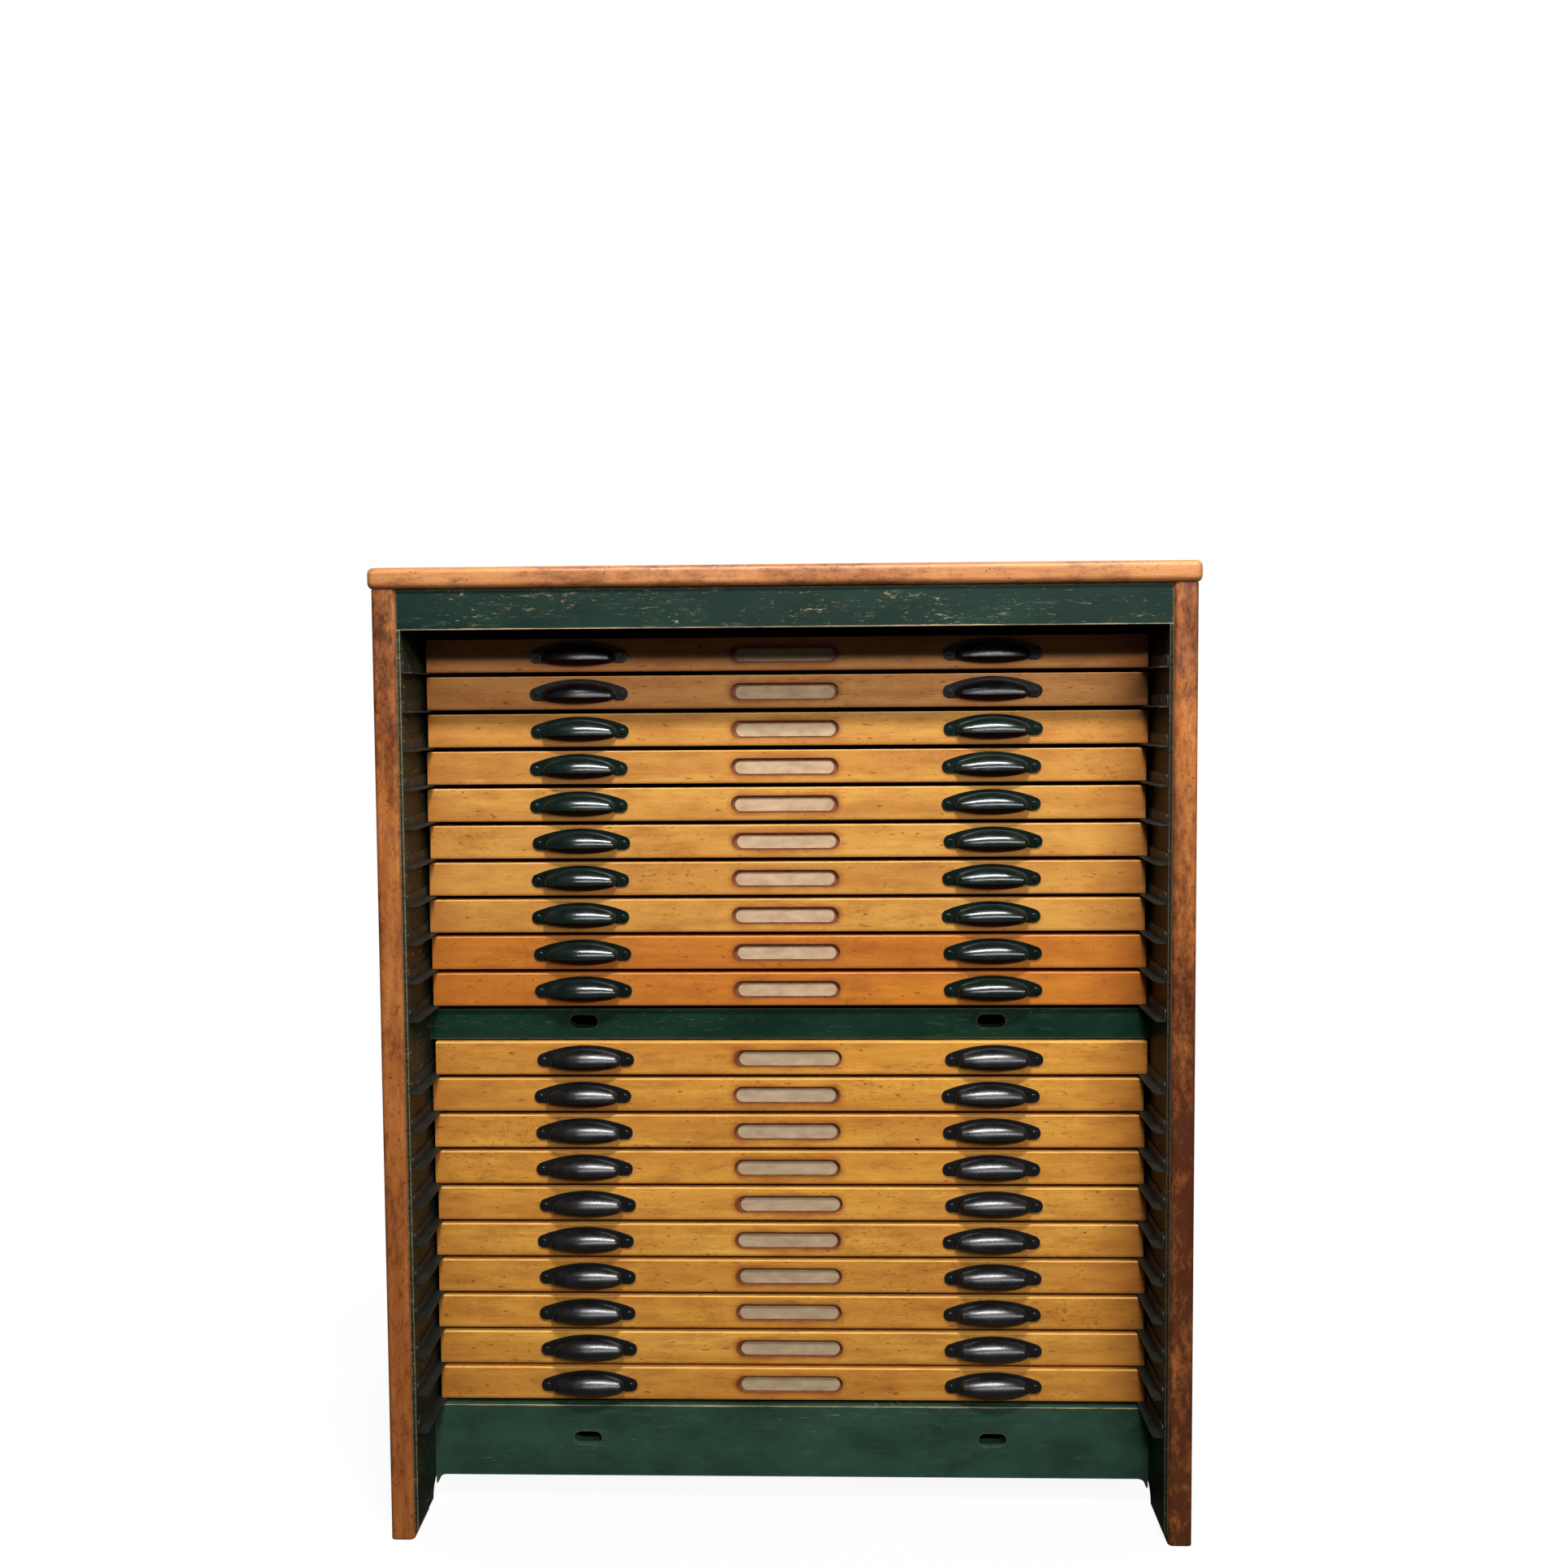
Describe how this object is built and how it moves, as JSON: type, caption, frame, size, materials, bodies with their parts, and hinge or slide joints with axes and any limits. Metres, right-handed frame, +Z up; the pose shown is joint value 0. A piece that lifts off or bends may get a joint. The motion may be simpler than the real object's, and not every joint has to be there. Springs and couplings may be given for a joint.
{
  "type": "type case cabinet",
  "caption": "Floor-standing wooden cabinet of shallow sliding type cases with cup pulls, in an upper and a lower group between green painted rails.",
  "frame": {"origin": "on the floor, in the middle of the box round the whole cabinet", "axes": "+X is to the right as seen from the front, the front with the pulls faces -Y, +Z is up"},
  "size_m": [1.026, 0.7, 1.236],
  "materials": {
    "varnished_wood": "worn orange-brown varnish",
    "green_painted_wood": "dark green paint, chipped and worn",
    "plain_wood": "bare, aged",
    "case_wood": "worn golden varnish",
    "green_enamel": "gloss dark green",
    "black_enamel": "gloss black",
    "runner_steel": "dull dark green, rubbed",
    "screw_steel": "dull"
  },
  "bodies": {
    "carcass": {"top_board": "varnished_wood", "left_front_post": "varnished_wood", "right_front_post": "varnished_wood", "left_rear_post": "varnished_wood", "right_rear_post": "varnished_wood", "left_side_rails": "varnished_wood", "right_side_rails": "varnished_wood", "left_lining": "green_painted_wood", "right_lining": "green_painted_wood", "top_rail": "green_painted_wood", "middle_rail": "green_painted_wood", "bottom_rail": "green_painted_wood", "back_rails": "plain_wood", "back_panel": "plain_wood", "bottom_board": "plain_wood", "left_runners": "runner_steel", "right_runners": "runner_steel", "runner_screws": "screw_steel", "rail_screws": "screw_steel", "top_dowels": "plain_wood"},
    "case_01_body": {"case_01": "case_wood", "case_01_pulls": "black_enamel"},
    "case_02_body": {"case_02": "case_wood", "case_02_pulls": "black_enamel"},
    "case_03_body": {"case_03": "case_wood", "case_03_pulls": "green_enamel"},
    "case_04_body": {"case_04": "case_wood", "case_04_pulls": "green_enamel"},
    "case_05_body": {"case_05": "case_wood", "case_05_pulls": "green_enamel"},
    "case_06_body": {"case_06": "case_wood", "case_06_pulls": "green_enamel"},
    "case_07_body": {"case_07": "case_wood", "case_07_pulls": "green_enamel"},
    "case_08_body": {"case_08": "case_wood", "case_08_pulls": "green_enamel"},
    "case_09_body": {"case_09": "case_wood", "case_09_pulls": "green_enamel"},
    "case_10_body": {"case_10": "case_wood", "case_10_pulls": "green_enamel"},
    "case_11_body": {"case_11": "case_wood", "case_11_pulls": "black_enamel"},
    "case_12_body": {"case_12": "case_wood", "case_12_pulls": "black_enamel"},
    "case_13_body": {"case_13": "case_wood", "case_13_pulls": "black_enamel"},
    "case_14_body": {"case_14": "case_wood", "case_14_pulls": "black_enamel"},
    "case_15_body": {"case_15": "case_wood", "case_15_pulls": "black_enamel"},
    "case_16_body": {"case_16": "case_wood", "case_16_pulls": "black_enamel"},
    "case_17_body": {"case_17": "case_wood", "case_17_pulls": "black_enamel"},
    "case_18_body": {"case_18": "case_wood", "case_18_pulls": "black_enamel"},
    "case_19_body": {"case_19": "case_wood", "case_19_pulls": "black_enamel"},
    "case_20_body": {"case_20": "case_wood", "case_20_pulls": "black_enamel"}
  },
  "joints": [
    {"name": "case_01_slide", "type": "slide", "parent": "carcass", "child": "case_01_body", "axis": [0, -1, 0], "range_m": [0, 0.43]},
    {"name": "case_02_slide", "type": "slide", "parent": "carcass", "child": "case_02_body", "axis": [0, -1, 0], "range_m": [0, 0.43]},
    {"name": "case_03_slide", "type": "slide", "parent": "carcass", "child": "case_03_body", "axis": [0, -1, 0], "range_m": [0, 0.43]},
    {"name": "case_04_slide", "type": "slide", "parent": "carcass", "child": "case_04_body", "axis": [0, -1, 0], "range_m": [0, 0.43]},
    {"name": "case_05_slide", "type": "slide", "parent": "carcass", "child": "case_05_body", "axis": [0, -1, 0], "range_m": [0, 0.43]},
    {"name": "case_06_slide", "type": "slide", "parent": "carcass", "child": "case_06_body", "axis": [0, -1, 0], "range_m": [0, 0.43]},
    {"name": "case_07_slide", "type": "slide", "parent": "carcass", "child": "case_07_body", "axis": [0, -1, 0], "range_m": [0, 0.43]},
    {"name": "case_08_slide", "type": "slide", "parent": "carcass", "child": "case_08_body", "axis": [0, -1, 0], "range_m": [0, 0.43]},
    {"name": "case_09_slide", "type": "slide", "parent": "carcass", "child": "case_09_body", "axis": [0, -1, 0], "range_m": [0, 0.43]},
    {"name": "case_10_slide", "type": "slide", "parent": "carcass", "child": "case_10_body", "axis": [0, -1, 0], "range_m": [0, 0.43]},
    {"name": "case_11_slide", "type": "slide", "parent": "carcass", "child": "case_11_body", "axis": [0, -1, 0], "range_m": [0, 0.43]},
    {"name": "case_12_slide", "type": "slide", "parent": "carcass", "child": "case_12_body", "axis": [0, -1, 0], "range_m": [0, 0.43]},
    {"name": "case_13_slide", "type": "slide", "parent": "carcass", "child": "case_13_body", "axis": [0, -1, 0], "range_m": [0, 0.43]},
    {"name": "case_14_slide", "type": "slide", "parent": "carcass", "child": "case_14_body", "axis": [0, -1, 0], "range_m": [0, 0.43]},
    {"name": "case_15_slide", "type": "slide", "parent": "carcass", "child": "case_15_body", "axis": [0, -1, 0], "range_m": [0, 0.43]},
    {"name": "case_16_slide", "type": "slide", "parent": "carcass", "child": "case_16_body", "axis": [0, -1, 0], "range_m": [0, 0.43]},
    {"name": "case_17_slide", "type": "slide", "parent": "carcass", "child": "case_17_body", "axis": [0, -1, 0], "range_m": [0, 0.43]},
    {"name": "case_18_slide", "type": "slide", "parent": "carcass", "child": "case_18_body", "axis": [0, -1, 0], "range_m": [0, 0.43]},
    {"name": "case_19_slide", "type": "slide", "parent": "carcass", "child": "case_19_body", "axis": [0, -1, 0], "range_m": [0, 0.43]},
    {"name": "case_20_slide", "type": "slide", "parent": "carcass", "child": "case_20_body", "axis": [0, -1, 0], "range_m": [0, 0.43]}
  ]
}
